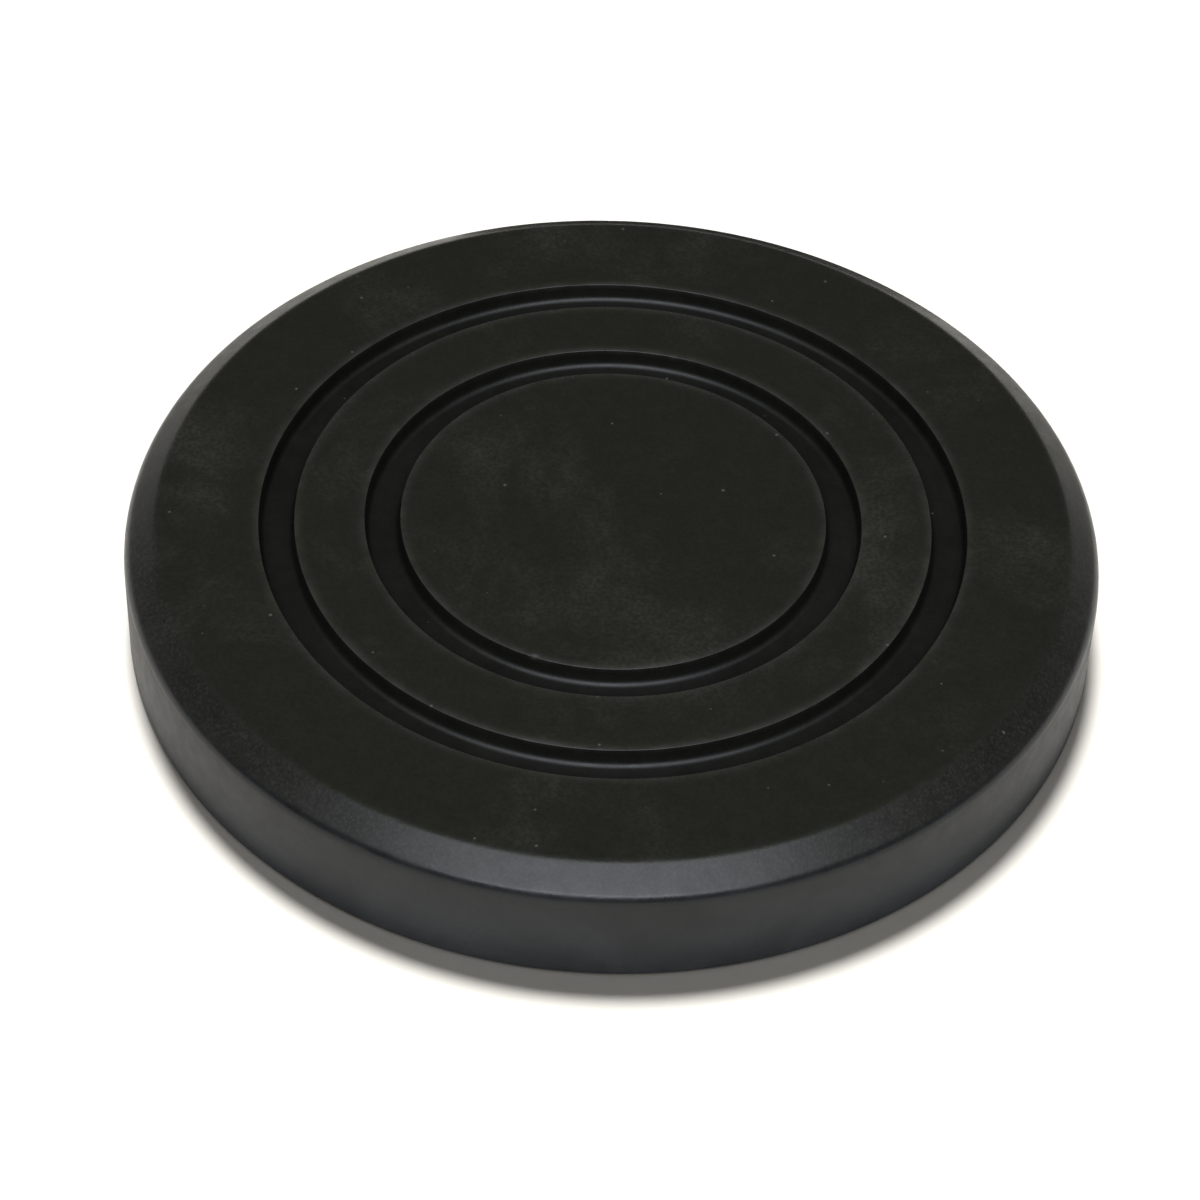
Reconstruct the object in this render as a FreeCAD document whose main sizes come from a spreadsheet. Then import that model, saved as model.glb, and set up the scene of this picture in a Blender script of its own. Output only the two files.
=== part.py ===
# Rubber saddle pad: a round moulded disc with two ring grooves in its top and a sloped shoulder.
# Millimetres. The origin is the middle of the underside, and +Z points up through the top.

import FreeCAD, Part
import os
import Sketcher

# Driving sizes: alias, value and meaning. The radial sizes add up from the axis to the rim.
SIZES = (
    ("centre_disc_diameter", 54.5, "flat disc inside the inner groove"),
    ("groove_width", 4.5, "width of either ring groove at the top"),
    ("ring_land_width", 9.0, "flat ring between the two grooves"),
    ("rim_land_width", 13.0, "flat ring from the outer groove to the shoulder"),
    ("shoulder_width", 4.25, "radial width of the sloped shoulder"),
    ("shoulder_drop", 2.8, "height that the shoulder falls over its width"),
    ("thickness", 16.0, "height from the underside to the lands"),
    ("groove_depth", 2.5, "depth of either ring groove below the lands"),
    ("wall_draft", 5.0, "lean of the groove walls from upright, in degrees"),
    ("floor_radius", 0.8, "rounding where a groove wall meets its floor"),
    ("land_edge_break", 0.15, "broken edge where a land meets a groove wall"),
    ("shoulder_top_radius", 2.0, "blend from the rim land into the shoulder"),
    ("shoulder_foot_radius", 2.2, "blend from the shoulder into the straight side"),
    ("underside_edge_break", 0.5, "broken edge at the foot of the straight side"),
)

# Where things lie, worked out from the driving sizes.
INNER_GROOVE_START = "Sizes.centre_disc_diameter / 2"
OUTER_GROOVE_START = INNER_GROOVE_START + " + Sizes.groove_width + Sizes.ring_land_width"
RIM_LAND_START = OUTER_GROOVE_START + " + Sizes.groove_width"
OUTER_RADIUS = RIM_LAND_START + " + Sizes.rim_land_width + Sizes.shoulder_width"

WALL_LEAN = "Sizes.groove_depth * tan(Sizes.wall_draft * 1 deg)"

# Corners of the two sections as first drawn, before their dimensions put them in place.
ROUGH_DISC = ((0, 0), (60, 0), (60, 12), (55, 15), (0, 15))
ROUGH_GROOVE = ((30, 15), (34, 15), (33, 13), (31, 13))
ROUGH_RADIUS = 1

# How a sketch names its points: the start and end of a line, and its origin.
START, END = 1, 2
ORIGIN = (-1, 1)

UNDERSIDE = 0
FULL_TURN = 360

# Heights closer than this are the same, and a cut that removes less removes nothing.
SAME = 1e-4


# The document and its sheet of sizes
def make_sheet(document):
    sheet = document.addObject("Spreadsheet::Sheet", "Sizes")
    for row, (alias, value, meaning) in enumerate(SIZES, start=1):
        sheet.set(f"A{row}", meaning)
        sheet.set(f"B{row}", str(value))
        sheet.setAlias(f"B{row}", alias)
    document.recompute()
    return sheet


# Sketch helpers
def upright_sketch(body, name):
    """A sketch on the body's XZ plane: its x is the radius and its y is the height."""
    sketch = body.newObject("Sketcher::SketchObject", name)
    plane = next(item for item in body.Origin.OriginFeatures if item.Role == "XZ_Plane")
    sketch.AttachmentSupport = [(plane, "")]
    sketch.MapMode = "FlatFace"
    return sketch


def closed_outline(sketch, corners):
    """Straight lines from corner to corner and back to the first, joined at their ends."""
    points = [FreeCAD.Vector(x, y, 0) for x, y in corners]
    for start, end in zip(points, points[1:] + points[:1]):
        sketch.addGeometry(Part.LineSegment(start, end), False)
    count = len(points)
    for line in range(count):
        following = (line + 1) % count
        sketch.addConstraint(Sketcher.Constraint("Coincident", line, END, following, START))


def round_corner(sketch, line, name, expression):
    """Rounds the corner at a line's end; dimensions still run to the corner itself."""
    arc = len(sketch.Geometry)
    sketch.fillet(line, END, ROUGH_RADIUS, True, True)
    index = sketch.addConstraint(Sketcher.Constraint("Radius", arc, ROUGH_RADIUS))
    sketch.renameConstraint(index, name)
    sketch.setExpression(f"Constraints.{name}", expression)


def measure(sketch, kind, first, second, name, expression):
    """Adds a named distance from one point to another and binds it to the sheet."""
    step = sketch.getPoint(*second) - sketch.getPoint(*first)
    value = step.x if kind == "DistanceX" else step.y
    index = sketch.addConstraint(Sketcher.Constraint(kind, *first, *second, value))
    sketch.renameConstraint(index, name)
    sketch.setExpression(f"Constraints.{name}", expression)


# The plain disc with its shoulder, turned from a half section
def add_disc(body):
    sketch = upright_sketch(body, "disc_section")
    closed_outline(sketch, ROUGH_DISC)
    underside, side, shoulder, top, axis = range(len(ROUGH_DISC))
    for line in (underside, top):
        sketch.addConstraint(Sketcher.Constraint("Horizontal", line))
    for line in (side, axis):
        sketch.addConstraint(Sketcher.Constraint("Vertical", line))
    sketch.addConstraint(Sketcher.Constraint("Coincident", underside, START, *ORIGIN))
    for kind, first, second, name, expression in (
        ("DistanceX", ORIGIN, (underside, END), "outer_radius", OUTER_RADIUS),
        ("DistanceY", ORIGIN, (top, END), "thickness", "Sizes.thickness"),
        ("DistanceX", (shoulder, END), (shoulder, START), "width", "Sizes.shoulder_width"),
        ("DistanceY", (shoulder, START), (shoulder, END), "drop", "Sizes.shoulder_drop"),
    ):
        measure(sketch, kind, first, second, name, expression)
    round_corner(sketch, side, "foot_radius", "Sizes.shoulder_foot_radius")
    round_corner(sketch, shoulder, "top_radius", "Sizes.shoulder_top_radius")
    disc = body.newObject("PartDesign::Revolution", "disc")
    disc.Profile = sketch
    disc.ReferenceAxis = (sketch, ["V_Axis"])
    disc.Angle = FULL_TURN
    return disc


# One ring groove, cut down from the lands
def add_ring_groove(body, name, start):
    """start is the radius, as an expression, where the groove's inner wall meets the lands."""
    sketch = upright_sketch(body, name + "_section")
    closed_outline(sketch, ROUGH_GROOVE)
    mouth, outer_wall, floor, inner_wall = range(len(ROUGH_GROOVE))
    for line in (mouth, floor):
        sketch.addConstraint(Sketcher.Constraint("Horizontal", line))
    sketch.addConstraint(Sketcher.Constraint("Equal", outer_wall, inner_wall))
    for kind, first, second, label, expression in (
        ("DistanceX", ORIGIN, (mouth, START), "start", start),
        ("DistanceY", ORIGIN, (mouth, START), "height", "Sizes.thickness"),
        ("DistanceX", (mouth, START), (mouth, END), "width", "Sizes.groove_width"),
        ("DistanceY", (floor, END), (mouth, START), "depth", "Sizes.groove_depth"),
        ("DistanceX", (mouth, START), (floor, END), "lean", WALL_LEAN),
    ):
        measure(sketch, kind, first, second, label, expression)
    groove = body.newObject("PartDesign::Groove", name)
    groove.Profile = sketch
    groove.ReferenceAxis = (sketch, ["V_Axis"])
    groove.Angle = FULL_TURN
    return groove


# Edges, found by the faces that they bound
def edge_name(shape, wanted):
    for number, edge in enumerate(shape.Edges, start=1):
        if edge.isSame(wanted):
            return f"Edge{number}"
    raise RuntimeError("the edge isn't on the shape")


def is_circle(edge):
    return isinstance(edge.Curve, Part.Circle)


def rings_at(shape, height):
    """Names of the round edges of the flat faces at one height, from the smallest to the largest."""
    rings = {}
    for face in shape.Faces:
        flat = isinstance(face.Surface, Part.Plane)
        if flat and abs(face.CenterOfMass.z - height) < SAME:
            for edge in filter(is_circle, face.Edges):
                rings[edge_name(shape, edge)] = edge.Curve.Radius
    return sorted(rings, key=rings.get)


# Corners that are rounded or broken once the grooves are cut
def add_rounding(body, name, rings, radius):
    base = body.Tip
    rounding = body.newObject("PartDesign::Fillet", name)
    rounding.Base = (base, rings)
    rounding.setExpression("Radius", radius)


def add_bevel(body, name, rings, size):
    base = body.Tip
    bevel = body.newObject("PartDesign::Chamfer", name)
    bevel.Base = (base, rings)
    bevel.setExpression("Size", size)


def finish_corners(document, body, sheet):
    """The widest ring at the top is where the shoulder starts, so it isn't a land edge."""
    top = sheet.get("thickness")
    floor = top - sheet.get("groove_depth")
    add_rounding(body, "groove_floors", rings_at(body.Tip.Shape, floor), "Sizes.floor_radius")
    document.recompute()
    land_edges = rings_at(body.Tip.Shape, top)[:-1]
    add_bevel(body, "land_edges", land_edges, "Sizes.land_edge_break")
    document.recompute()
    underside = rings_at(body.Tip.Shape, UNDERSIDE)
    add_bevel(body, "underside_edge", underside, "Sizes.underside_edge_break")
    document.recompute()


# The whole pad
def make_pad(document, sheet):
    body = document.addObject("PartDesign::Body", "saddle_pad")
    body.Label = "saddle_pad"
    disc = add_disc(body)
    document.recompute()
    volume = disc.Shape.Volume
    for name, start in (
        ("inner_groove", INNER_GROOVE_START),
        ("outer_groove", OUTER_GROOVE_START),
    ):
        groove = add_ring_groove(body, name, start)
        document.recompute()
        if groove.Shape.Volume >= volume - SAME:
            raise RuntimeError(f"{name} cuts nothing")
        volume = groove.Shape.Volume
    finish_corners(document, body, sheet)
    return body


# Checks before anything is written
def check(document, body):
    for item in document.Objects:
        if "Invalid" in item.State or "Error" in item.State:
            raise RuntimeError(f"{item.Label} failed: {item.State}")
    shape = body.Shape
    if shape.isNull() or not shape.isValid():
        raise RuntimeError(f"{body.Label} isn't a valid shape")
    if len(shape.Solids) != 1:
        raise RuntimeError(f"{body.Label} has {len(shape.Solids)} solids, not one")


def main():
    document = FreeCAD.newDocument("saddle_pad_model")
    sheet = make_sheet(document)
    pad = make_pad(document, sheet)
    check(document, pad)
    os.makedirs("parts", exist_ok=True)
    pad.Shape.exportStep(os.path.join("parts", pad.Label + ".step"))
    box = pad.Shape.optimalBoundingBox()
    print(
        f"{pad.Label}: {box.XLength:.2f} x {box.YLength:.2f} x {box.ZLength:.2f} mm, "
        f"{pad.Shape.Volume / 1000:.2f} cm3, {len(pad.Shape.Faces)} faces"
    )


main()
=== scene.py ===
"""Rubber saddle pad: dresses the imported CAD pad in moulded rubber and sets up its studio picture.

One Geometry Nodes tree draws the half section from named sizes, sweeps it once round the axis and
leaves it slightly uneven, as a moulding is. Lengths are in metres, in the CAD part's own frame.
"""

import math

import bpy
from mathutils import Matrix, Vector


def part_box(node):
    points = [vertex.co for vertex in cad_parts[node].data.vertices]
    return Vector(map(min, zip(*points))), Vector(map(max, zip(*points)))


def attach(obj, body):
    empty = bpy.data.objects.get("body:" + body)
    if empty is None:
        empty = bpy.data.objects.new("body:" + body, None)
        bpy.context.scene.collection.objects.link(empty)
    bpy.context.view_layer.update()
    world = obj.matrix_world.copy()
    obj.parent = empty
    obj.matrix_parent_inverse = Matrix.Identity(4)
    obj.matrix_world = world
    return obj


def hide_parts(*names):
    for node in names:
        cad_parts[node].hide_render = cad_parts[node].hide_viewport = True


bl_info = {
    "name": "Rubber saddle pad",
    "version": (1, 0, 0),
    "blender": (4, 5, 0),
    "location": "View3D > Sidebar > Saddle pad",
    "description": "Builds a moulded rubber saddle pad with ring grooves, and its studio",
    "category": "Object",
}

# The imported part, which gives the pad its place, diameter and thickness.
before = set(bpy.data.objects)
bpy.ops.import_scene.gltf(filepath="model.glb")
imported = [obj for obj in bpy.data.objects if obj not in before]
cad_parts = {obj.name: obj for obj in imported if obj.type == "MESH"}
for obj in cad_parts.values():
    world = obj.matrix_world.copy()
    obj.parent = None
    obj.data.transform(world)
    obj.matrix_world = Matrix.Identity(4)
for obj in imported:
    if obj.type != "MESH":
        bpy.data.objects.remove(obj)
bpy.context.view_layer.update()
PAD_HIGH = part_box("saddle_pad")[1]

MM = 0.001

# Below, a pair of values is mapped to 0 and 1. In a group of four, the first two are mapped to
# the last two.

# How much longer the steps along a flat are, by its height, because the underside is hidden.
UNDERSIDE_STEPS = (0.0, 0.3 * MM, 5.0, 1.0)

# Points closer than this become one.
WELD_DISTANCE = 0.001 * MM

# The mark on the edges of the section: how quickly a turn of the line gives the full mark, and
# how often it is blurred, which carries it on to the flats beside the edge.
EDGE_MARGIN = "edge_margin"
EDGE_GAIN = 6.0
MARGIN_BLURS = 2

# Unevenness: how far apart two seeds lie in the noise, what sets the nicks apart from the
# ragged edges, and the heights over which it begins, so that the pad stands flat.
SEED_STEP = 3.7
NICK_SEED = 1.3
NICK_LENGTH = 1.6
NICK_RANGE = (0.68, 0.76)
UNEVEN_HEIGHTS = (0.3 * MM, 2.0 * MM)

# Noise patterns of the rubber: scale, detail, roughness, seed and distortion.
BLOOM = (38.0, 7.0, 0.68, 2.0, 0.5)
MOTTLE = (420.0, 4.0, 0.6, 5.0)
FINE = (1700.0, 3.0, 0.7, 6.0)
SMUDGES = (90.0, 4.0, 0.6, 12.0, 0.8)
RUBBING = (260.0, 3.0, 0.6, 9.0)
SCUFFS = (2500.0, 2.0, 0.6, 15.0)

# The grain's two noises: detail, roughness and seed, and the pebbles' scale as a share of the
# fine one's.
FINE_GRAIN = (2.0, 0.5, 1.0)
PEBBLES = (1.0, 0.5, 4.0)
PEBBLE_SCALE = 0.38

# Where the bloom shows as haze, and how much of it the fine pattern leaves.
BLOOM_RANGE = (0.47, 0.78)
BLOOM_BREAKS = (0.30, 0.72, 0.35, 1.2)

# What counts as worn in the mark on the edges, how much of that the rubbing leaves, and where
# the shoulder is scuffed.
WORN_MARGIN = (0.10, 0.75)
RUBBING_RANGE = (0.3, 0.7, 0.35, 1.0)
SCUFF_RANGE = (0.42, 0.78)

# Brightness that the patterns give the rubber, and painted light and shade on the bare rubber,
# brighter at the underside and darker at the height of the lands.
SMUDGE_SHADE = (0.3, 0.7, 0.8, 1.25)
MOTTLE_SHADE = (0.25, 0.75, 0.95, 1.05)
FINE_SHADE = (0.25, 0.75, 0.86, 1.14)
SIDE_PAINTED_LIGHT = (2.2, 0.7)

# How a cell's random value sizes its speck of dust, and how wide the speck's soft rim is.
SPECK_CHANCE = (0.5, 1.1)
SPECK_EDGE = 0.22 * MM

# The parts of the pad, by how far their faces look up, how far they lie below the lands, and
# how gradually the grooves' reach ends.
LEVEL_FACES = (0.6, 0.9)
UPRIGHT_FACES = (0.05, 0.25)
STEEP_FACES = (0.68, 0.80)
LAND_DEPTHS = (0.4 * MM, 0.1 * MM)
REACH_FADE = 1.0 * MM

# Changes of roughness: by the mottle either way, and by full wear, haze and dust.
MOTTLE_GLOSS = (0.2, 0.8)
MOTTLE_ROUGHNESS = 0.05
WORN_ROUGHNESS = 0.5
HAZE_ROUGHNESS = 0.10
DUST_ROUGHNESS = 0.4
RUBBER_IOR = 1.38

# Numbers of a mix node's colour sockets, whose names its other sockets share.
MIX_FIRST, MIX_SECOND, MIX_RESULT = 6, 7, 2

# The floor and the card, and the soft top of the pale wall.
PLAIN_ROUGHNESS = 0.9
PLAIN_SPECULAR = 0.1
CARD_HEIGHT = 0.3 * MM
WALL_FADE = 0.05

# The camera: its sensor in millimetres, and the width of the picture that its pixels belong to.
SENSOR_WIDTH = 36.0
PICTURE_WIDTH = 1200
CLIP_START = 0.01


# Sizes and colours that a user would change
def length(name, description, default, low=0.0):
    return bpy.props.FloatProperty(
        name=name,
        description=description,
        default=default,
        min=low,
        precision=5,
        subtype="DISTANCE",
        unit="LENGTH",
    )


def share(name, description, default):
    return bpy.props.FloatProperty(
        name=name, description=description, default=default, min=0.0, max=1.0, subtype="FACTOR"
    )


def number(name, description, default):
    return bpy.props.FloatProperty(name=name, description=description, default=default, min=0.0)


def pixel(name, description, default):
    return bpy.props.FloatProperty(name=name, description=description, default=default)


def turn(name, description, degrees):
    return bpy.props.FloatProperty(
        name=name,
        description=description,
        default=math.radians(degrees),
        subtype="ANGLE",
        unit="ROTATION",
    )


def count(name, description, default, low=0):
    return bpy.props.IntProperty(name=name, description=description, default=default, min=low)


def colour(name, description, default):
    return bpy.props.FloatVectorProperty(
        name=name, description=description, default=default, size=3, min=0.0, subtype="COLOR"
    )


class SaddlePadSection(bpy.types.PropertyGroup):
    """The half section that is turned round the axis."""

    outer_radius: length("Outer radius", "From the axis to the straight side", PAD_HIGH.x)
    thickness: length("Thickness", "From the underside to the lands", PAD_HIGH.z)
    disc_radius: length("Disc radius", "Flat disc inside the inner groove", 27.25 * MM)
    groove_width: length("Groove width", "Width of either ring groove at the top", 4.5 * MM)
    groove_depth: length("Groove depth", "Depth of either groove below the lands", 2.5 * MM)
    wall_draft: turn("Wall draft", "Lean of the groove walls from upright", 5.0)
    ring_land_width: length("Ring land width", "Flat ring between the grooves", 9.0 * MM)
    shoulder_width: length("Shoulder width", "Width of the slope at the rim", 4.25 * MM)
    shoulder_drop: length("Shoulder drop", "How far the slope falls", 2.8 * MM)
    floor_rounding: length("Floor rounding", "Where a groove wall meets its floor", 0.8 * MM)
    land_rounding: length("Land rounding", "Where a land meets a groove wall", 0.10 * MM)
    top_rounding: length("Shoulder top rounding", "From the rim land into the slope", 2.0 * MM)
    foot_rounding: length("Shoulder foot rounding", "From the slope into the side", 2.2 * MM)
    underside_rounding: length("Underside rounding", "Foot of the straight side", 0.55 * MM)


class SaddlePadMoulding(bpy.types.PropertyGroup):
    """How finely the pad is drawn and how uneven the moulding left it."""

    divisions: count("Divisions round", "Steps round the axis", 520, 12)
    arc_steps: count("Arc steps", "Steps along each rounding of the section", 8, 2)
    flat_step: length("Flat step", "Longest step along a flat of the section", 1.0 * MM, 0.1 * MM)
    wave_depth: length("Wave depth", "Depth of the long waves all over", 0.03 * MM)
    wave_length: length("Wave length", "Length of the long waves", 11.0 * MM, 0.1 * MM)
    ragged_depth: length("Ragged depth", "Unevenness of the rounded edges", 0.05 * MM)
    ragged_length: length("Ragged length", "Length of the edges' waves", 1.7 * MM, 0.1 * MM)
    nick_depth: length("Nick depth", "Depth of the few small nicks in the edges", 0.08 * MM)
    seed: count("Seed", "Chooses where the unevenness falls", 7)


class SaddlePadFinish(bpy.types.PropertyGroup):
    """The look of the rubber."""

    rubber_colour: colour("Rubber", "Blue black of the side", (0.0084, 0.0090, 0.0098))
    # Painted shade: the bare rubber within the grooves' reach gets this darker black.
    groove_painted_shade: colour("Grooves", "Deeper black down in the grooves", (0.0064, 0.0063, 0.0044))
    land_colour: colour("Lands", "Olive film on lands and shoulder", (0.0124, 0.0126, 0.0084))
    haze_colour: colour("Haze", "Faint bloom in patches on lands and slope", (0.044, 0.041, 0.034))
    worn_colour: colour("Worn rubber", "Edges of the grooves, and scuffs", (0.046, 0.042, 0.036))
    dust_colour: colour("Dust", "Specks of dust lying on the top", (0.070, 0.068, 0.058))
    roughness: share("Roughness", "How much the shoulder blurs a reflection", 0.38)
    side_roughness: share("Side roughness", "Roughness of the straight side", 0.50)
    foot_roughness: share("Foot roughness", "Roughness of the rubbed foot of the shoulder", 0.29)
    land_roughness: share("Land roughness", "Roughness of the flat lands", 0.33)
    groove_roughness: share("Groove roughness", "Roughness down in the grooves", 0.46)
    groove_reach: length("Groove reach", "Radius inside which the grooves lie", 49.0 * MM)
    haze: share("Haze amount", "How strongly the bloom shows", 0.6)
    wear: share("Wear", "How strongly the worn edges show", 0.6)
    # Painted shade: the film on the shoulder's slope keeps only this share of its brightness.
    slope_painted_shade: share("Slope film", "How much of the film is left on the shoulder", 0.62)
    scuff: share("Scuffing", "How strongly the shoulder is scuffed", 0.38)
    grain_length: length("Grain length", "Size of the pebbled grain", 0.42 * MM, 0.01 * MM)
    grain_depth: length("Grain depth", "Height of the pebbled grain", 0.012 * MM)
    speck_spacing: length("Speck spacing", "Rough distance between specks", 7.0 * MM, 1.0 * MM)
    speck_radius: length("Speck radius", "Radius of the largest dust specks", 0.33 * MM)


class SaddlePadStudio(bpy.types.PropertyGroup):
    """Floor, dark card, room and camera."""

    floor_size: length("Floor size", "Side of the square floor", 60.0, 0.5)
    floor_colour: colour("Floor", "Plain pale floor", (0.88, 0.86, 0.81))
    card_colour: colour("Card", "Dark card behind the pad", (0.01, 0.01, 0.01))
    card_left: length("Card left", "Left edge of the card", -26.0 * MM, -1.0)
    card_right: length("Card right", "Right edge of the card", 50.0 * MM, -1.0)
    card_near: length("Card near", "Edge of the card beside the pad", 63.0 * MM, -1.0)
    card_far: length("Card far", "Far edge of the card", 260.0 * MM, -1.0)
    room_colour: colour("Room", "Room and wall", (1.0, 0.99, 0.975))
    wall_rise: turn("Wall rise", "How high the pale wall stands above the horizon", 3.5)
    wall_brightness: number("Wall brightness", "Brightness of the pale wall", 1.05)
    room_brightness: number("Room brightness", "Brightness of the room", 0.09)
    camera_elevation: turn("Camera elevation", "Height of the camera above the top", 43.931)
    camera_roll: turn("Camera roll", "Turn of the camera about its own axis", 2.379)
    camera_distance: length("Camera distance", "From the middle of the top", 0.48807, 0.05)
    camera_lens: bpy.props.FloatProperty(
        name="Lens",
        description="Focal length",
        default=114.448,
        min=10.0,
        subtype="DISTANCE_CAMERA",
    )
    centre_x: pixel("Centre across", "Pixel column of the middle of the top", 613.41)
    centre_y: pixel("Centre down", "Pixel row of the middle of the top", 515.29)


class SaddlePadLamp(bpy.types.PropertyGroup):
    """The broad lamp and the narrow strip in front of and above the pad, which light it alone."""

    tint: colour("Colour", "Colour of both lamps", (0.90, 0.95, 1.04))
    radiance: number("Brightness", "Brightness of the broad lamp's face", 4.85)
    width: length("Width", "Size of the broad lamp from side to side", 1.4, 0.01)
    depth: length("Depth", "Size of the broad lamp from front to back", 1.05, 0.01)
    distance: length("Distance", "From the top of the pad to either lamp", 1.3, 0.1)
    lean: turn("Lean", "Lean of the broad lamp from overhead towards the camera", 31.0)
    strip_radiance: number("Strip brightness", "Brightness of the narrow strip's face", 10.0)
    strip_width: length("Strip width", "Size of the strip from side to side", 0.9, 0.01)
    strip_depth: length("Strip depth", "Size of the strip from front to back", 0.14, 0.01)
    strip_lean: turn("Strip lean", "Lean of the strip from overhead towards the camera", 47.5)


class SaddlePadFloorLight(bpy.types.PropertyGroup):
    """Even light from far away, which lights the floor alone and gives the pad its shadow."""

    tint: colour("Colour", "Colour of the main light", (1.0, 0.995, 0.985))
    strength: number("Strength", "Light that falls on each square metre", 3.9)
    softness: turn("Softness", "How wide the main light is in the sky", 12.0)
    lean: turn("Lean", "Lean from overhead, towards the camera or, below 0, away from it", -19.0)
    around: turn("Around", "Turn about the pad's axis", 10.0)
    fill_tint: colour("Fill colour", "Colour of the light in the shadow", (1.0, 0.96, 0.90))
    fill_strength: number("Fill strength", "Light that fills the shadow", 0.30)
    fill_softness: turn("Fill softness", "How wide the fill is in the sky", 120.0)


# Node helpers, for every kind of tree
def feed(tree, socket, value):
    """Links another node's output to a socket, or sets the socket to a plain value."""
    if isinstance(value, bpy.types.NodeSocket):
        tree.links.new(value, socket)
    else:
        socket.default_value = value


def add_step(tree, kind, inputs=(), output=0, **settings):
    """Adds a node, feeds its inputs from sockets or plain values, and returns an output."""
    node = tree.nodes.new(kind)
    for name, value in settings.items():
        setattr(node, name, value)
    for key, value in dict(inputs).items():
        feed(tree, node.inputs[key], value)
    return node.outputs[output]


def work_out(tree, operation, *values, clamp=False):
    return add_step(
        tree, "ShaderNodeMath", enumerate(values), operation=operation, use_clamp=clamp
    )


def product(tree, value, *factors):
    for factor in factors:
        value = work_out(tree, "MULTIPLY", value, factor)
    return value


def rest_of(tree, mask):
    """1 where a mask is 0, and 0 where it is 1."""
    return work_out(tree, "SUBTRACT", 1.0, mask)


def work_out_vector(tree, operation, *values, output=0):
    return add_step(
        tree, "ShaderNodeVectorMath", enumerate(values), output, operation=operation
    )


def scaled(tree, vector, factor):
    """A vector or a colour times a number."""
    return add_step(
        tree, "ShaderNodeVectorMath", {0: vector, "Scale": factor}, operation="SCALE"
    )


def along(tree, vector, axis):
    return add_step(tree, "ShaderNodeSeparateXYZ", {"Vector": vector}, axis)


def spread(tree, value, low, high, to_low=0.0, to_high=1.0):
    """Maps a range smoothly to another and holds its ends."""
    return add_step(
        tree,
        "ShaderNodeMapRange",
        {"Value": value, "From Min": low, "From Max": high, "To Min": to_low, "To Max": to_high},
        interpolation_type="SMOOTHSTEP",
    )


def noise(tree, place, scale, detail, roughness=0.5, seed=0.0, distortion=0.0):
    """Noise from 0 to 1, of which each seed gives another pattern."""
    return add_step(
        tree,
        "ShaderNodeTexNoise",
        {
            "Vector": place,
            "W": seed,
            "Scale": scale,
            "Detail": detail,
            "Roughness": roughness,
            "Distortion": distortion,
        },
        noise_dimensions="4D",
    )


# The moulded pad
def tree_inputs(tree, group, names):
    """One named input for each property, under the property's own name."""
    kinds = {"FLOAT": "NodeSocketFloat", "INT": "NodeSocketInt"}
    entries = {}
    for name in names:
        prop = group.bl_rna.properties[name]
        entry = tree.interface.new_socket(
            prop.name, description=prop.description, in_out="INPUT", socket_type=kinds[prop.type]
        )
        entry.default_value = prop.default
        entries[name] = entry
    return entries


def section_corners(tree, size):
    """Radius, height and rounding of each corner, from the axis underneath to the axis on top."""
    disc, outer, top = size["disc_radius"], size["outer_radius"], size["thickness"]
    inner_far = work_out(tree, "ADD", disc, size["groove_width"])
    outer_near = work_out(tree, "ADD", inner_far, size["ring_land_width"])
    outer_far = work_out(tree, "ADD", outer_near, size["groove_width"])
    slope_top = work_out(tree, "SUBTRACT", outer, size["shoulder_width"])
    slope_foot = work_out(tree, "SUBTRACT", top, size["shoulder_drop"])
    floor = work_out(tree, "SUBTRACT", top, size["groove_depth"])
    draft = work_out(tree, "TANGENT", size["wall_draft"])
    lean = product(tree, size["groove_depth"], draft)
    corners = [
        (0.0, 0.0, 0.0),
        (outer, 0.0, size["underside_rounding"]),
        (outer, slope_foot, size["foot_rounding"]),
        (slope_top, top, size["top_rounding"]),
    ]
    for far, near in ((outer_far, outer_near), (inner_far, disc)):
        corners += [
            (far, top, size["land_rounding"]),
            (work_out(tree, "SUBTRACT", far, lean), floor, size["floor_rounding"]),
            (work_out(tree, "ADD", near, lean), floor, size["floor_rounding"]),
            (near, top, size["land_rounding"]),
        ]
    corners.append((0.0, top, 0.0))
    return corners


def pick(tree, index, values):
    """The value that belongs to a point's index."""
    node = tree.nodes.new("GeometryNodeIndexSwitch")
    node.data_type = "FLOAT"
    while len(node.index_switch_items) < len(values):
        node.index_switch_items.new()
    feed(tree, node.inputs["Index"], index)
    for socket, value in zip(node.inputs[1:], values):
        feed(tree, socket, value)
    return node.outputs[0]


def beside(tree, place, offset):
    """Where the next or the previous point of the section is."""
    index = add_step(tree, "GeometryNodeInputIndex")
    other = add_step(
        tree,
        "GeometryNodeOffsetPointInCurve",
        {"Point Index": index, "Offset": offset},
        "Point Index",
    )
    return add_step(
        tree,
        "GeometryNodeFieldAtIndex",
        {"Value": place, "Index": other},
        data_type="FLOAT_VECTOR",
    )


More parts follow.
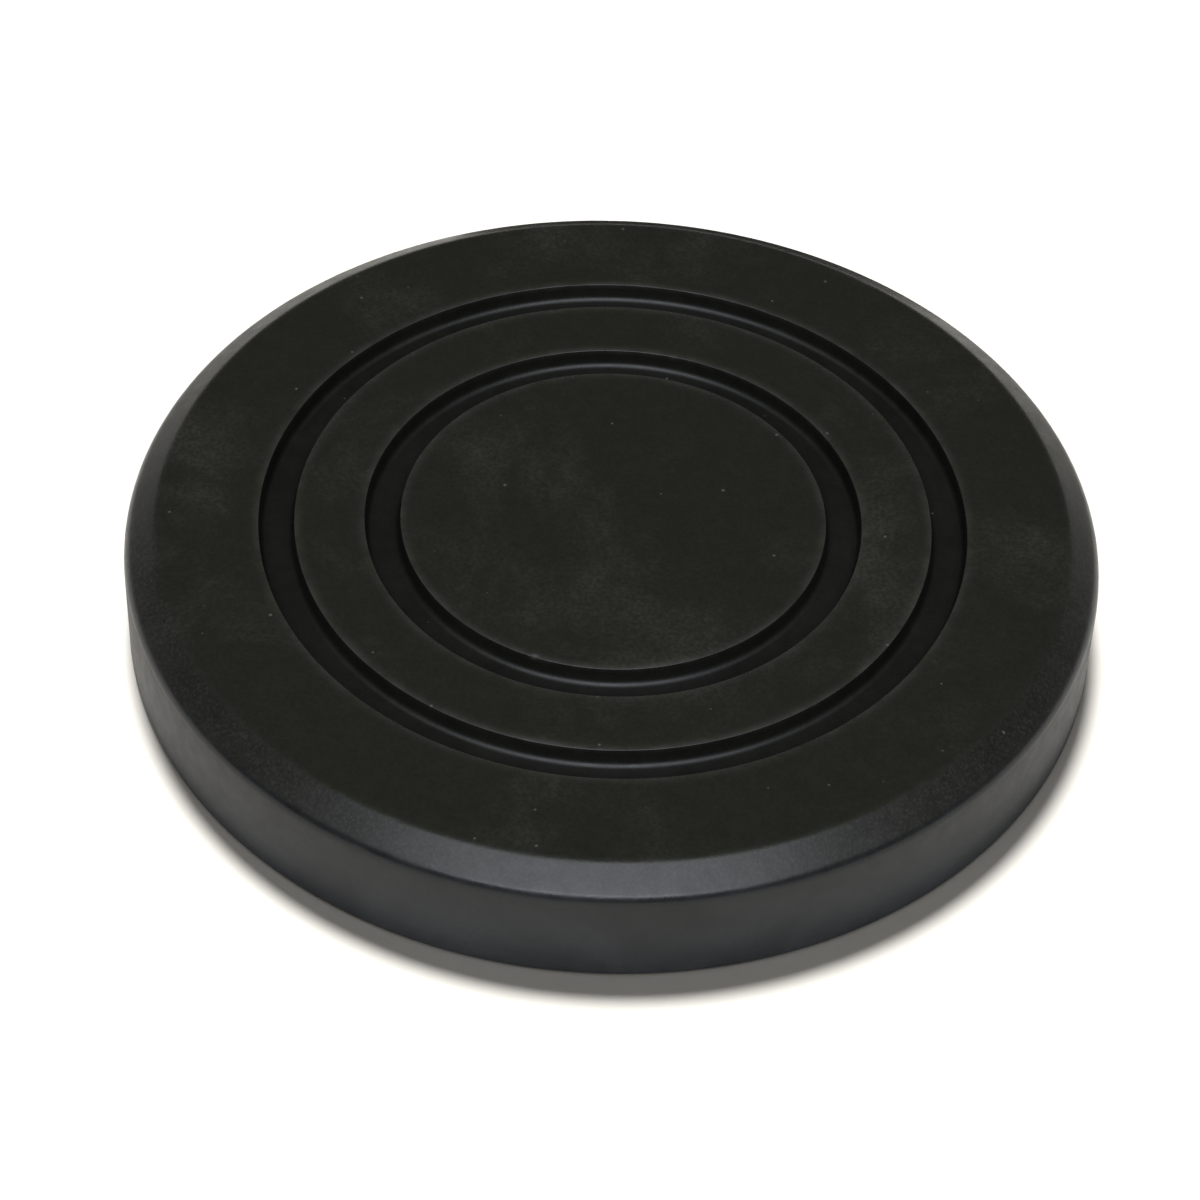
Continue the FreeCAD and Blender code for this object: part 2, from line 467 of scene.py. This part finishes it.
def draw_section(tree, size):
    """The half section as a line of short steps, drawn flat.

    Its x is the radius less the outer radius, and its y is the height.
    """
    corners = section_corners(tree, size)
    index = add_step(tree, "GeometryNodeInputIndex")
    radius, height, rounding = (pick(tree, index, column) for column in zip(*corners))
    shifted = work_out(tree, "SUBTRACT", radius, size["outer_radius"])
    place = add_step(tree, "ShaderNodeCombineXYZ", {"X": shifted, "Y": height})
    points = add_step(
        tree, "GeometryNodeMeshLine", {"Count": len(corners), "Offset": (MM, 0.0, 0.0)}
    )
    points = add_step(tree, "GeometryNodeSetPosition", {"Geometry": points, "Position": place})
    line = add_step(tree, "GeometryNodeMeshToCurve", {"Mesh": points})
    line = add_step(
        tree,
        "GeometryNodeFilletCurve",
        {"Curve": line, "Count": size["arc_steps"], "Radius": rounding, "Limit Radius": True},
        mode="POLY",
    )
    here = add_step(tree, "GeometryNodeInputPosition")
    gap = work_out_vector(tree, "DISTANCE", here, beside(tree, here, 1), output="Value")
    longer = spread(tree, along(tree, here, "Y"), *UNDERSIDE_STEPS)
    pieces = work_out(tree, "DIVIDE", gap, product(tree, size["flat_step"], longer))
    cuts = work_out(tree, "FLOOR", pieces)
    return add_step(tree, "GeometryNodeSubdivideCurve", {"Curve": line, "Cuts": cuts})


def mark_edges(tree, line):
    """Keeps how near each point is to an outward edge of the section, from 0 to 1."""
    here = add_step(tree, "GeometryNodeInputPosition")
    to_here = work_out_vector(tree, "SUBTRACT", here, beside(tree, here, -1))
    to_next = work_out_vector(tree, "SUBTRACT", beside(tree, here, 1), here)
    before = work_out_vector(tree, "NORMALIZE", to_here)
    after = work_out_vector(tree, "NORMALIZE", to_next)
    turning = along(tree, work_out_vector(tree, "CROSS_PRODUCT", before, after), "Z")
    edge = work_out(tree, "MULTIPLY", turning, EDGE_GAIN, clamp=True)
    margin = add_step(
        tree,
        "GeometryNodeBlurAttribute",
        {"Value": edge, "Iterations": MARGIN_BLURS},
        data_type="FLOAT",
    )
    return add_step(
        tree,
        "GeometryNodeStoreNamedAttribute",
        {"Geometry": line, "Name": EDGE_MARGIN, "Value": margin},
        data_type="FLOAT",
        domain="POINT",
    )


def sweep_round(tree, line, size):
    """Sweeps the section once round the axis, where its y points down.

    Merging what lies together closes the seam and the two points on the axis.
    """
    ring = add_step(
        tree,
        "GeometryNodeCurvePrimitiveCircle",
        {"Resolution": size["divisions"], "Radius": size["outer_radius"]},
        mode="RADIUS",
    )
    ring = add_step(tree, "GeometryNodeSetCurveNormal", {"Curve": ring}, mode="Z_UP")
    flipped = add_step(
        tree, "GeometryNodeTransform", {"Geometry": line, "Scale": (1.0, -1.0, 1.0)}
    )
    skin = add_step(tree, "GeometryNodeCurveToMesh", {"Curve": ring, "Profile Curve": flipped})
    skin = add_step(
        tree,
        "GeometryNodeMergeByDistance",
        {"Geometry": skin, "Distance": WELD_DISTANCE},
        mode="ALL",
    )
    skin = add_step(tree, "GeometryNodeFlipFaces", {"Mesh": skin})
    return add_step(tree, "GeometryNodeSetShadeSmooth", {"Geometry": skin})


def leave_uneven(tree, skin, size):
    """Sinks the surface a little: by long waves all over, and by small ones and nicks at edges."""
    place = add_step(tree, "GeometryNodeInputPosition")
    seed = product(tree, size["seed"], SEED_STEP)
    nick_seed = work_out(tree, "ADD", seed, NICK_SEED)
    nick_length = product(tree, size["ragged_length"], NICK_LENGTH)
    waves, ragged, nicks = (
        noise(tree, place, work_out(tree, "DIVIDE", 1.0, wave_length), detail, seed=start)
        for wave_length, detail, start in (
            (size["wave_length"], 1.0, seed),
            (size["ragged_length"], 2.0, seed),
            (nick_length, 1.0, nick_seed),
        )
    )
    nicks = spread(tree, nicks, *NICK_RANGE)
    on_edge = add_step(
        tree, "GeometryNodeInputNamedAttribute", {"Name": EDGE_MARGIN}, data_type="FLOAT"
    )
    sink = product(tree, waves, size["wave_depth"])
    for pattern, depth in ((ragged, size["ragged_depth"]), (nicks, size["nick_depth"])):
        sink = work_out(tree, "ADD", sink, product(tree, pattern, on_edge, depth))
    off_floor = spread(tree, along(tree, place, "Z"), *UNEVEN_HEIGHTS)
    normal = add_step(tree, "GeometryNodeInputNormal")
    offset = scaled(tree, normal, product(tree, sink, off_floor, -1.0))
    return add_step(tree, "GeometryNodeSetPosition", {"Geometry": skin, "Offset": offset})


def pad_tree(material):
    """The whole tree of the pad, and its inputs by property name."""
    tree = bpy.data.node_groups.new("moulded_pad_tree", "GeometryNodeTree")
    tree.interface.new_socket("Geometry", in_out="OUTPUT", socket_type="NodeSocketGeometry")
    entries = {}
    for group in (SaddlePadSection, SaddlePadMoulding):
        entries.update(tree_inputs(tree, group, group.__annotations__))
    source = tree.nodes.new("NodeGroupInput")
    size = dict(zip(entries, source.outputs))
    line = mark_edges(tree, draw_section(tree, size))
    skin = leave_uneven(tree, sweep_round(tree, line, size), size)
    skin = add_step(tree, "GeometryNodeRealizeInstances", {"Geometry": skin})
    skin = add_step(
        tree, "GeometryNodeSetMaterial", {"Geometry": skin, "Material": material}
    )
    result = tree.nodes.new("NodeGroupOutput")
    tree.links.new(skin, result.inputs[0])
    return tree, entries


def add_object(name, data):
    item = bpy.data.objects.new(name, data)
    bpy.context.scene.collection.objects.link(item)
    return item


def grow(name, tree, entries, groups):
    """Runs a tree on an empty mesh and returns what it makes as a plain mesh object."""
    piece = add_object(name, bpy.data.meshes.new(name + "_start"))
    modifier = piece.modifiers.new("grow", "NODES")
    modifier.node_group = tree
    for group in groups:
        for key in group.__annotations__:
            modifier[entries[key].identifier] = getattr(group, key)
    depsgraph = bpy.context.evaluated_depsgraph_get()
    mesh = bpy.data.meshes.new_from_object(piece.evaluated_get(depsgraph))
    mesh.name = name
    piece.modifiers.remove(modifier)
    piece.data = mesh
    return piece


# The rubber
def mix(tree, mask, first, second):
    """The first colour where the mask is 0, and the second where it is 1."""
    inputs = {"Factor": mask}
    for key, value in ((MIX_FIRST, first), (MIX_SECOND, second)):
        inputs[key] = value if isinstance(value, bpy.types.NodeSocket) else (*value, 1.0)
    return add_step(tree, "ShaderNodeMix", inputs, MIX_RESULT, data_type="RGBA")


def find_zones(tree, place, finish):
    """Masks from 0 to 1 of the parts of the pad that look different."""
    facing = along(tree, add_step(tree, "ShaderNodeTexCoord", output="Normal"), "Z")
    across = work_out_vector(tree, "MULTIPLY", place, (1.0, 1.0, 0.0))
    radius = work_out_vector(tree, "LENGTH", across, output="Value")
    reach = finish.groove_reach
    within = spread(tree, radius, reach, reach + REACH_FADE, 1.0, 0.0)
    beyond = rest_of(tree, within)
    high = spread(tree, along(tree, place, "Z"), *(PAD_HIGH.z - depth for depth in LAND_DEPTHS))
    low = rest_of(tree, high)
    level = spread(tree, facing, *LEVEL_FACES)
    groove = product(tree, within, low)
    film = product(tree, level, rest_of(tree, groove))
    upright = spread(tree, facing, *UPRIGHT_FACES, 1.0, 0.0)
    leaning = spread(tree, facing, *UPRIGHT_FACES)
    steep = spread(tree, facing, *STEEP_FACES, 1.0, 0.0)
    return {
        "top": level,
        "within": within,
        "groove": groove,
        "land": product(tree, high, level),
        "film": film,
        "slope": product(tree, film, low),
        "side": product(tree, upright, beyond),
        "foot": product(tree, steep, leaning, beyond),
    }


def base_tone(tree, place, zone, haze, finish):
    """Smudged bare rubber with painted light by height and painted shade in the grooves, and over
    it the hazy olive film, with painted shade on the slope.
    """
    film = mix(tree, haze, finish.land_colour, finish.haze_colour)
    # Painted shade: the film is darker on the slope.
    film = scaled(tree, film, spread(tree, zone["slope"], 0.0, 1.0, 1.0, finish.slope_painted_shade))
    # Painted shade: a darker black within the grooves' reach.
    bare = mix(tree, zone["within"], finish.rubber_colour, finish.groove_painted_shade)
    smudges = spread(tree, noise(tree, place, *SMUDGES), *SMUDGE_SHADE)
    # Painted light and shade: the bare rubber is brighter at the underside and darker at the height
    # of the lands.
    painted_height_light = spread(tree, along(tree, place, "Z"), 0.0, PAD_HIGH.z, *SIDE_PAINTED_LIGHT)
    bare = scaled(tree, bare, product(tree, smudges, painted_height_light))
    return mix(tree, zone["film"], bare, film)


def find_specks(tree, place, zone, finish):
    """Round specks of dust on what faces up, with one at most in each cell."""
    scale = 1.0 / finish.speck_spacing
    cells = tree.nodes.new("ShaderNodeTexVoronoi")
    cells.voronoi_dimensions = "2D"
    feed(tree, cells.inputs["Vector"], place)
    feed(tree, cells.inputs["Scale"], scale)
    chance = add_step(tree, "ShaderNodeSeparateColor", {"Color": cells.outputs["Color"]})
    reach = spread(tree, chance, *SPECK_CHANCE, 0.0, finish.speck_radius * scale)
    inside = work_out(tree, "SUBTRACT", reach, cells.outputs["Distance"])
    return product(tree, spread(tree, inside, 0.0, SPECK_EDGE * scale), zone["top"])


def find_roughness(tree, mottle, changes, finish):
    """The shoulder's roughness with its mottle, and each change where its mask is."""
    low, high = finish.roughness - MOTTLE_ROUGHNESS, finish.roughness + MOTTLE_ROUGHNESS
    roughness = spread(tree, mottle, *MOTTLE_GLOSS, low, high)
    for mask, change in changes:
        step = product(tree, mask, change)
        roughness = work_out(tree, "ADD", roughness, step, clamp=True)
    return roughness


def find_grain(tree, place, finish):
    """The pebbled grain, as a bend of the normal."""
    grain = noise(tree, place, 1.0 / finish.grain_length, *FINE_GRAIN)
    pebbles = noise(tree, place, PEBBLE_SCALE / finish.grain_length, *PEBBLES)
    relief = work_out(tree, "ADD", grain, pebbles)
    inputs = {"Height": relief, "Distance": finish.grain_depth, "Strength": 1.0}
    return add_step(tree, "ShaderNodeBump", inputs, "Normal")


def rubber_material(finish):
    """Olive-black moulded rubber: pebbled grain, faint haze, worn edges, scuffs and dust, with
    painted light and shade on the bare rubber and the slope.
    """
    material = bpy.data.materials.new("moulded_rubber")
    material.use_nodes = True
    tree = material.node_tree
    tree.nodes.clear()
    place = add_step(tree, "ShaderNodeTexCoord", output="Object")
    zone = find_zones(tree, place, finish)
    mottle, fine = noise(tree, place, *MOTTLE), noise(tree, place, *FINE)

    bloom = spread(tree, noise(tree, place, *BLOOM), *BLOOM_RANGE)
    haze = product(tree, bloom, finish.haze, spread(tree, fine, *BLOOM_BREAKS))
    margin = add_step(tree, "ShaderNodeAttribute", output="Fac", attribute_name=EDGE_MARGIN)
    edge = spread(tree, margin, *WORN_MARGIN)
    groove_edge = product(tree, edge, product(tree, zone["land"], zone["within"]))
    rubbed = spread(tree, noise(tree, place, *RUBBING), *RUBBING_RANGE)
    worn = product(tree, groove_edge, rubbed, finish.wear)
    scuffs = spread(tree, noise(tree, place, *SCUFFS), *SCUFF_RANGE, 0.0, finish.scuff)
    scuffs = product(tree, scuffs, zone["slope"])
    specks = find_specks(tree, place, zone, finish)

    shade = product(tree, spread(tree, mottle, *MOTTLE_SHADE), spread(tree, fine, *FINE_SHADE))
    tone = scaled(tree, base_tone(tree, place, zone, haze, finish), shade)
    tone = mix(tree, worn, tone, finish.worn_colour)
    tone = mix(tree, scuffs, tone, finish.worn_colour)
    tone = mix(tree, specks, tone, finish.dust_colour)

    changes = (
        (zone["groove"], finish.groove_roughness - finish.roughness),
        (zone["land"], finish.land_roughness - finish.roughness),
        (zone["side"], finish.side_roughness - finish.roughness),
        (zone["foot"], finish.foot_roughness - finish.roughness),
        (worn, WORN_ROUGHNESS),
        (haze, HAZE_ROUGHNESS),
        (specks, DUST_ROUGHNESS),
    )
    surface = {
        "Base Color": tone,
        "Roughness": find_roughness(tree, mottle, changes, finish),
        "IOR": RUBBER_IOR,
        "Normal": find_grain(tree, place, finish),
    }
    shader = add_step(tree, "ShaderNodeBsdfPrincipled", surface, "BSDF")
    output = tree.nodes.new("ShaderNodeOutputMaterial")
    tree.links.new(shader, output.inputs["Surface"])
    return material


class SADDLEPAD_OT_build_pad(bpy.types.Operator):
    """Build the moulded pad and give it its rubber"""

    bl_idname = "saddlepad.build_pad"
    bl_label = "Build moulded pad"
    bl_options = {"REGISTER", "UNDO"}

    def execute(self, context):
        scene = context.scene
        material = rubber_material(scene.saddle_pad_finish)
        tree, entries = pad_tree(material)
        groups = (scene.saddle_pad_section, scene.saddle_pad_moulding)
        pad = grow("moulded_pad", tree, entries, groups)
        if not pad.data.polygons:
            raise RuntimeError("the pad came out empty")
        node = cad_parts["saddle_pad"]
        node.data.materials.clear()
        node.data.materials.append(material)
        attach(pad, "root")
        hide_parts("saddle_pad")
        return {"FINISHED"}


# Floor, card, lights, room and camera
def plain_material(name, tint):
    material = bpy.data.materials.new(name)
    material.use_nodes = True
    shader = material.node_tree.nodes["Principled BSDF"]
    shader.inputs["Base Color"].default_value = (*tint, 1.0)
    shader.inputs["Roughness"].default_value = PLAIN_ROUGHNESS
    shader.inputs["Specular IOR Level"].default_value = PLAIN_SPECULAR
    return material


def add_sheet(name, corners, height, material):
    """A flat sheet of one face at a height, with its corners as seen from above."""
    mesh = bpy.data.meshes.new(name)
    mesh.from_pydata([(x, y, height) for x, y in corners], [], [(0, 1, 2, 3)])
    mesh.materials.append(material)
    return add_object(name, mesh)


def add_floor(studio):
    half = studio.floor_size / 2
    corners = [(-half, -half), (half, -half), (half, half), (-half, half)]
    material = plain_material("pale_floor", studio.floor_colour)
    floor = add_sheet("studio_floor", corners, 0.0, material)
    return floor


def add_dark_card(studio):
    """A dark card lying behind the pad, which only reflections show."""
    left, right = studio.card_left, studio.card_right
    near, far = studio.card_near, studio.card_far
    corners = [(left, near), (right, near), (right, far), (left, far)]
    material = plain_material("dark_card", studio.card_colour)
    card = add_sheet("dark_card", corners, CARD_HEIGHT, material)
    card.visible_camera = False
    card.visible_diffuse = False
    card.visible_shadow = False


def place_light(data, lit, pose):
    """Puts a light in the scene and lets it light one object, though others still cast shadows."""
    source = add_object(data.name, data)
    source.matrix_world = pose
    lit_objects = bpy.data.collections.new(data.name + "_lights")
    lit_objects.objects.link(lit)
    source.light_linking.receiver_collection = lit_objects


def light_pad(lamp, pad):
    """The broad lamp, and the brighter strip that draws a line along the foot of the shoulder."""
    top = Matrix.Translation((0, 0, PAD_HIGH.z))
    out = Matrix.Translation((0, 0, lamp.distance))
    for name, radiance, width, depth, lean in (
        ("pad_lamp", lamp.radiance, lamp.width, lamp.depth, lamp.lean),
        ("pad_strip", lamp.strip_radiance, lamp.strip_width, lamp.strip_depth, lamp.strip_lean),
    ):
        data = bpy.data.lights.new(name, "AREA")
        data.shape = "RECTANGLE"
        data.size = width
        data.size_y = depth
        data.energy = radiance * math.pi * width * depth
        data.color = lamp.tint
        place_light(data, pad, top @ Matrix.Rotation(lean, 4, "X") @ out)


def light_floor(light, floor):
    """A light from behind, which throws the shadow forwards, and a wide one from overhead."""
    behind = Matrix.Rotation(light.around, 4, "Z") @ Matrix.Rotation(light.lean, 4, "X")
    overhead = Matrix.Identity(4)
    for name, tint, strength, softness, pose in (
        ("floor_light", light.tint, light.strength, light.softness, behind),
        ("floor_fill", light.fill_tint, light.fill_strength, light.fill_softness, overhead),
    ):
        data = bpy.data.lights.new(name, "SUN")
        data.color = tint
        data.energy = strength
        data.angle = softness
        place_light(data, floor, pose)


def light_room(studio):
    """A dim room overhead, above a pale wall that meets the floor at the horizon."""
    world = bpy.data.worlds.new("dim_room")
    world.use_nodes = True
    tree = world.node_tree
    outward = add_step(tree, "ShaderNodeTexCoord", output="Generated")
    wall_top = math.sin(studio.wall_rise)
    brightness = spread(
        tree,
        along(tree, outward, "Z"),
        wall_top,
        wall_top + WALL_FADE,
        studio.wall_brightness,
        studio.room_brightness,
    )
    background = tree.nodes["Background"]
    background.inputs["Color"].default_value = (*studio.room_colour, 1.0)
    tree.links.new(brightness, background.inputs["Strength"])
    bpy.context.scene.world = world


def add_camera(studio):
    """The camera in front, turned so that the middle of the pad's top falls on its pixel."""
    data = bpy.data.cameras.new("photo_camera")
    data.sensor_width = SENSOR_WIDTH
    data.lens = studio.camera_lens
    data.clip_start = CLIP_START
    camera = add_object("photo_camera", data)
    rise = studio.camera_elevation
    back = Vector((0, -math.cos(rise), math.sin(rise)))
    side = Vector((1, 0, 0))
    upright = Matrix((side, back.cross(side), back)).transposed()
    half = PICTURE_WIDTH / 2
    focal = studio.camera_lens * PICTURE_WIDTH / SENSOR_WIDTH
    ray = Vector((studio.centre_x - half, half - studio.centre_y, -focal))
    aim = ray.normalized().rotation_difference(Vector((0, 0, -1))).to_matrix()
    facing = upright @ Matrix.Rotation(studio.camera_roll, 3, "Z") @ aim
    place = Vector((0, 0, PAD_HIGH.z)) + back * studio.camera_distance
    camera.matrix_world = Matrix.Translation(place) @ facing.to_4x4()
    bpy.context.scene.camera = camera


class SADDLEPAD_OT_build_studio(bpy.types.Operator):
    """Build the lights, the floor, the dark card, the room and the camera"""

    bl_idname = "saddlepad.build_studio"
    bl_label = "Build studio"
    bl_options = {"REGISTER", "UNDO"}

    def execute(self, context):
        studio = context.scene.saddle_pad_studio
        pad = bpy.data.objects.get("moulded_pad")
        if pad is None:
            raise RuntimeError("build the moulded pad first, because its lamps light it alone")
        light_pad(context.scene.saddle_pad_lamp, pad)
        light_floor(context.scene.saddle_pad_floor_light, add_floor(studio))
        add_dark_card(studio)
        light_room(studio)
        add_camera(studio)
        context.scene.view_settings.view_transform = "Standard"
        return {"FINISHED"}


class SADDLEPAD_PT_tools(bpy.types.Panel):
    """Lists the settings and the steps"""

    bl_idname = "SADDLEPAD_PT_tools"
    bl_label = "Saddle pad"
    bl_space_type = "VIEW_3D"
    bl_region_type = "UI"
    bl_category = "Saddle pad"

    def draw(self, context):
        for title, name, group in SETTINGS:
            box = self.layout.box()
            box.label(text=title)
            for key in group.__annotations__:
                box.prop(getattr(context.scene, name), key)
        for operator in OPERATORS:
            self.layout.operator(operator.bl_idname)


SETTINGS = (
    ("Section", "saddle_pad_section", SaddlePadSection),
    ("Moulding", "saddle_pad_moulding", SaddlePadMoulding),
    ("Finish", "saddle_pad_finish", SaddlePadFinish),
    ("Studio", "saddle_pad_studio", SaddlePadStudio),
    ("Pad lamps", "saddle_pad_lamp", SaddlePadLamp),
    ("Floor light", "saddle_pad_floor_light", SaddlePadFloorLight),
)
OPERATORS = (SADDLEPAD_OT_build_pad, SADDLEPAD_OT_build_studio)


def register():
    for _, name, group in SETTINGS:
        bpy.utils.register_class(group)
        setattr(bpy.types.Scene, name, bpy.props.PointerProperty(type=group))
    for item in (*OPERATORS, SADDLEPAD_PT_tools):
        bpy.utils.register_class(item)


def unregister():
    for item in (SADDLEPAD_PT_tools, *OPERATORS):
        bpy.utils.unregister_class(item)
    for _, name, group in SETTINGS:
        delattr(bpy.types.Scene, name)
        bpy.utils.unregister_class(group)


def main():
    register()
    bpy.ops.saddlepad.build_pad()
    bpy.ops.saddlepad.build_studio()


if __name__ == "__main__":
    main()
